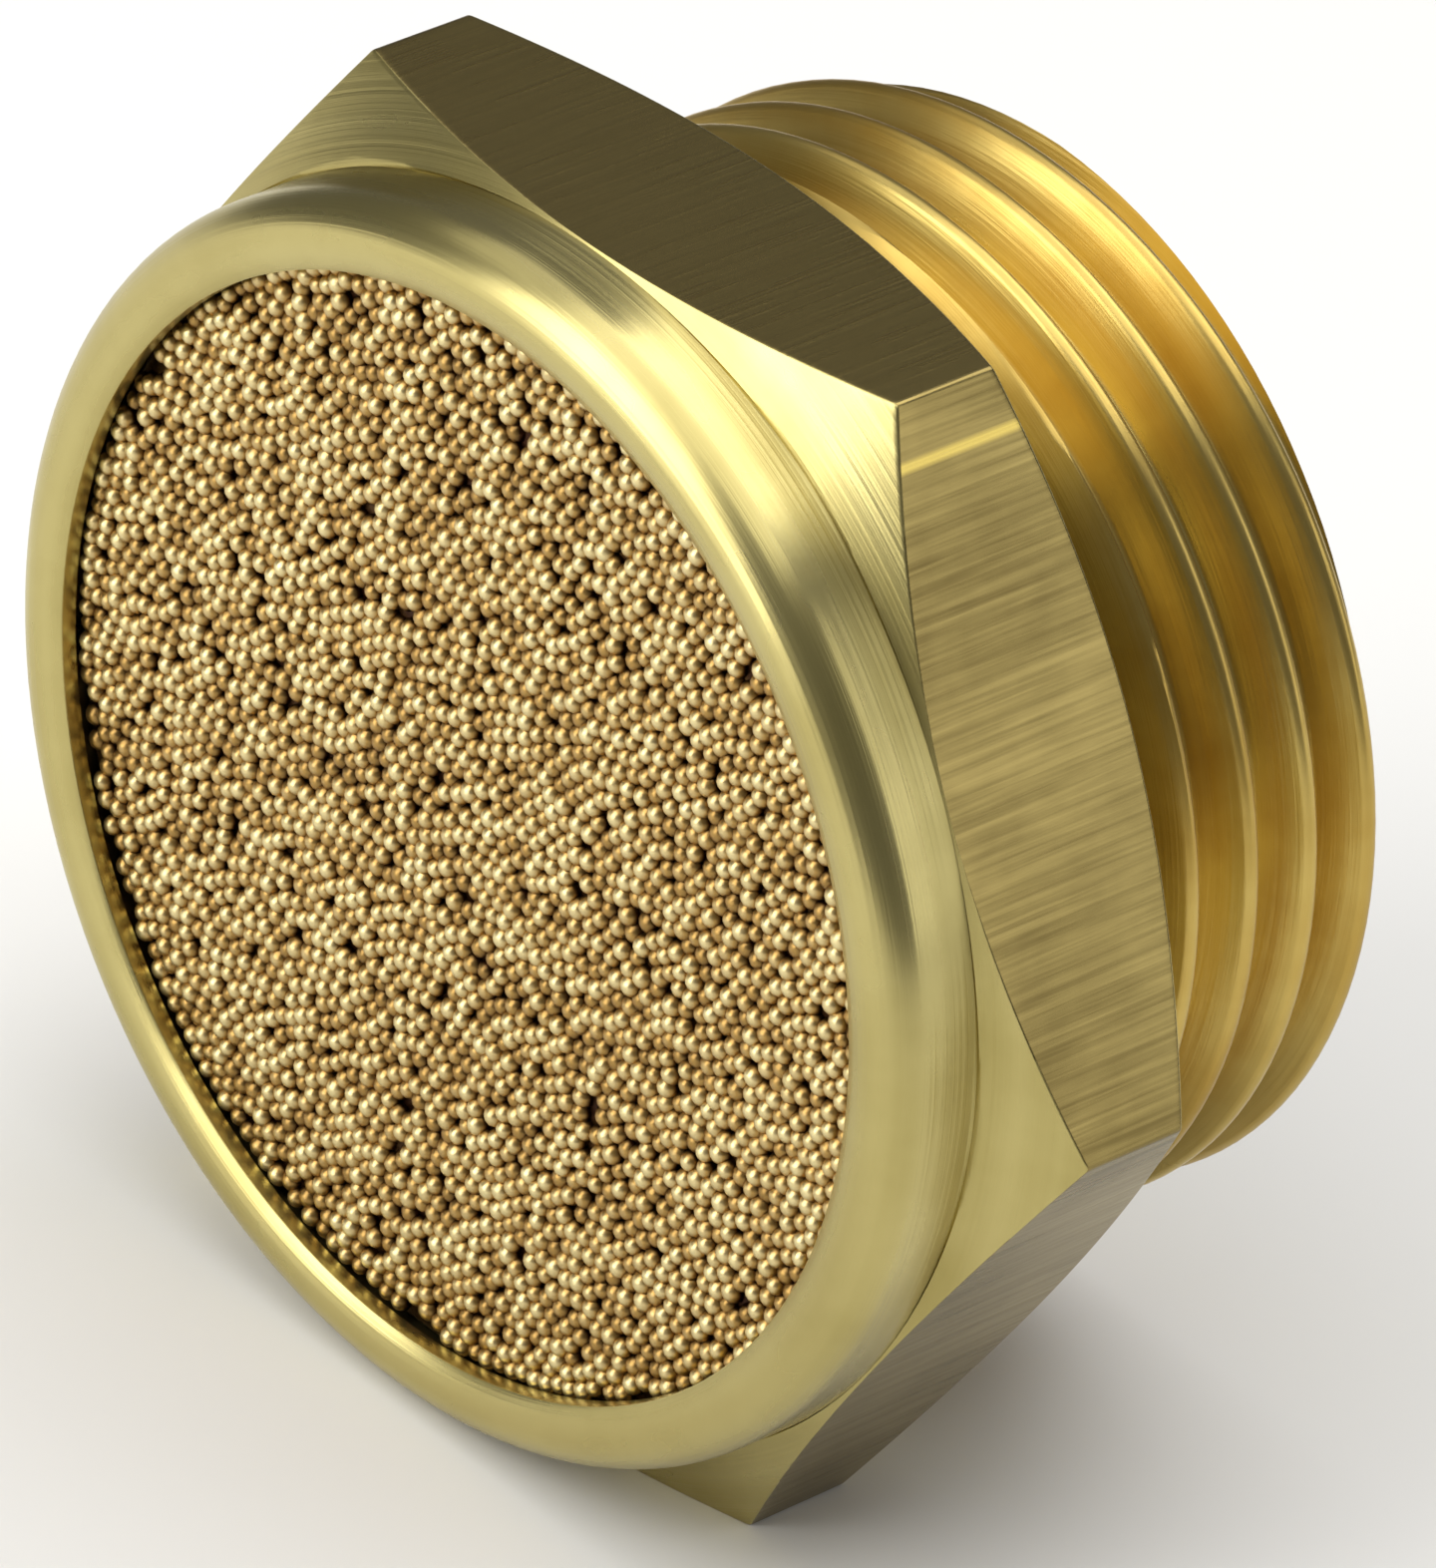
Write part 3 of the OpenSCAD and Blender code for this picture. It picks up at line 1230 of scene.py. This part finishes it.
@dataclass(frozen=True)
class SoftLight:
    """One rectangular soft box that points at the silencer.

    Attributes:
        name: The light's name.
        azimuth: Angle round the vertical, as for the camera, in degrees.
        elevation: Height angle in degrees.
        half_width: Half of the angle that its width covers, in degrees.
        half_height: Half of the angle that its height covers, in degrees.
        brightness: Its radiance, where a lit white floor is about one.
        distance: Distance from the origin, in mm.
        colour: Colour of the light.
    """

    name: str
    azimuth: float
    elevation: float
    half_width: float
    half_height: float
    brightness: float
    distance: float = 600.0
    colour: str = WHITE

    def build(self) -> None:
        """Build the light, out of the camera's sight."""
        data = bpy.data.lights.new(self.name, "AREA")
        data.shape = "RECTANGLE"
        data.size = 2 * self.distance * math.tan(math.radians(self.half_width)) * MM
        data.size_y = 2 * self.distance * math.tan(math.radians(self.half_height)) * MM
        data.energy = self.brightness * math.pi * data.size * data.size_y
        data.color = linear(self.colour)[:3]
        light = add_object(self.name, data)
        back = direction(self.azimuth, self.elevation)
        light.matrix_world = looking_from(back, self.distance)
        light.visible_camera = False


@dataclass(frozen=True)
class Studio:
    """The pale floor, the surrounding light and the soft lights.

    Attributes:
        floor_z: Height of the floor, in metres.
        lights: The soft lights.
        surround: Brightness of the dim room.
        wall: Brightness of the wall that the camera sees.
        floor_colour: Colour of the floor.
        floor_size: Length of the floor's sides, in metres.
    """

    floor_z: float
    lights: tuple[SoftLight, ...]
    surround: float = 0.16
    wall: float = 0.95
    floor_colour: str = "#EAE9E6"
    floor_size: float = 3.0

    def floor(self) -> None:
        """Build the floor, of matt paper that gives soft shadows and no gloss."""
        bm = bmesh.new()
        bmesh.ops.create_grid(bm, x_segments=1, y_segments=1, size=self.floor_size / 2)
        bmesh.ops.translate(bm, vec=(0.0, 0.0, self.floor_z), verts=bm.verts[:])
        mesh = to_mesh(bm, "floor")
        made = bpy.data.materials.new("matt_paper_floor")
        tree = empty_tree(made)
        skin = add_node(
            tree, "ShaderNodeBsdfPrincipled",
            {"Base Color": linear(self.floor_colour), "Roughness": 0.9},
        )
        add_node(tree, "ShaderNodeOutputMaterial", {"Surface": skin.outputs[0]})
        mesh.materials.append(made)
        add_object("floor", mesh)

    def surroundings(self) -> None:
        """Make a dim room round the lights, which the camera sees as a pale wall."""
        world = bpy.data.worlds.new("studio")
        bpy.context.scene.world = world
        tree = empty_tree(world)
        seen = add_node(tree, "ShaderNodeLightPath").outputs["Is Camera Ray"]
        room, wall = (
            add_node(
                tree, "ShaderNodeBackground", {"Color": linear(WHITE), "Strength": level}
            )
            for level in (self.surround, self.wall)
        )
        mixed = add_node(
            tree, "ShaderNodeMixShader", {0: seen, 1: room.outputs[0], 2: wall.outputs[0]}
        )
        add_node(tree, "ShaderNodeOutputWorld", {"Surface": mixed.outputs[0]})

    def build(self) -> None:
        """Build the whole studio."""
        self.surroundings()
        self.floor()
        for light in self.lights:
            light.build()
        bpy.context.scene.view_settings.view_transform = "Standard"


# Each light is named for where it stands, as seen from in front of the disc
LIGHTS: tuple[SoftLight, ...] = (
    SoftLight(
        "front_strip", azimuth=-21, elevation=24, half_width=17, half_height=33,
        brightness=4.2, distance=320,
    ),
    SoftLight(
        "overhead", azimuth=0, elevation=90, half_width=27, half_height=27,
        brightness=1.9,
    ),
    SoftLight(
        "back_panel", azimuth=-176, elevation=50, half_width=18, half_height=15,
        brightness=3.0,
    ),
    SoftLight(
        "right_panel", azimuth=124, elevation=20, half_width=12, half_height=26,
        brightness=1.25,
    ),
    SoftLight(
        "left_panel", azimuth=-96, elevation=50, half_width=26, half_height=10,
        brightness=0.8,
    ),
)


def main() -> None:
    """Build the silencer and its studio, to the sizes of the model's parts."""
    logging.basicConfig(level=logging.INFO, format="%(name)s: %(message)s")
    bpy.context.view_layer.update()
    Viewpoint().build()
    body_low, body_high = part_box("threaded_body")
    disc_low, disc_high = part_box("sintered_disc")
    Studio(floor_z=body_low[2], lights=LIGHTS).build()
    body = ThreadedBody(
        across_flats=(body_high[2] - body_low[2]) / MM,
        crest_y=body_low[1] / MM,
        end_y=body_high[1] / MM,
        disc_front=disc_low[1] / MM,
        disc_back=disc_high[1] / MM,
    )
    body.dress(body.build())
    disc = PorousDisc(
        radius=disc_high[0] / MM, front_y=disc_low[1] / MM, back_y=disc_high[1] / MM
    )
    disc.build()


if __name__ == "__main__":
    main()
